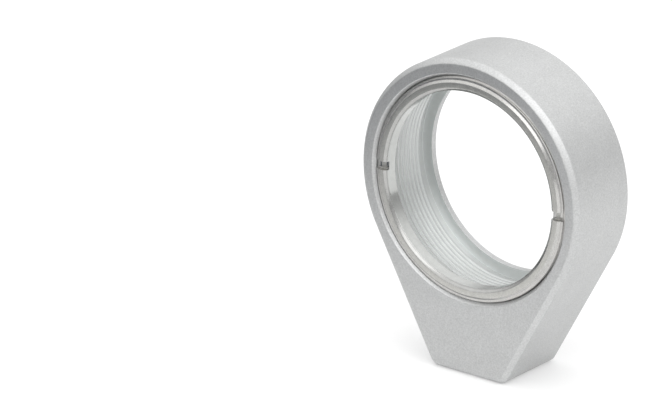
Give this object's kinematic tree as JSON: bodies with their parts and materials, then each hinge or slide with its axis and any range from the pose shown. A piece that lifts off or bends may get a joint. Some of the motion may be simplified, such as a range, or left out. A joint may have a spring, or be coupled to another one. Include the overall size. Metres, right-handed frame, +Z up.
{
  "type": "optical lens mount",
  "caption": "Fixed ring mount that holds a round lens on a tapered foot, with a slotted retaining ring that screws into its threaded bore.",
  "frame": {"origin": "centre of the base face that stands on the table or on a post", "axes": "+Z up from the base to the lens, +Y along the optical axis towards the back, so the threaded front that takes the lens faces -Y; +X completes the frame"},
  "size_m": [0.03, 0.0099, 0.037],
  "materials": {
    "blasted_aluminium": "bead-blasted, matte",
    "turned_aluminium": "fine turned, satin"
  },
  "bodies": {
    "mount": {"mount_body": "blasted_aluminium"},
    "ring": {"retaining_ring": "turned_aluminium"}
  },
  "joints": [
    {"name": "ring_travel", "type": "slide", "parent": "mount", "child": "ring", "axis": [0, 1, 0], "range_m": [-0.00127, 0.00698]}
  ]
}
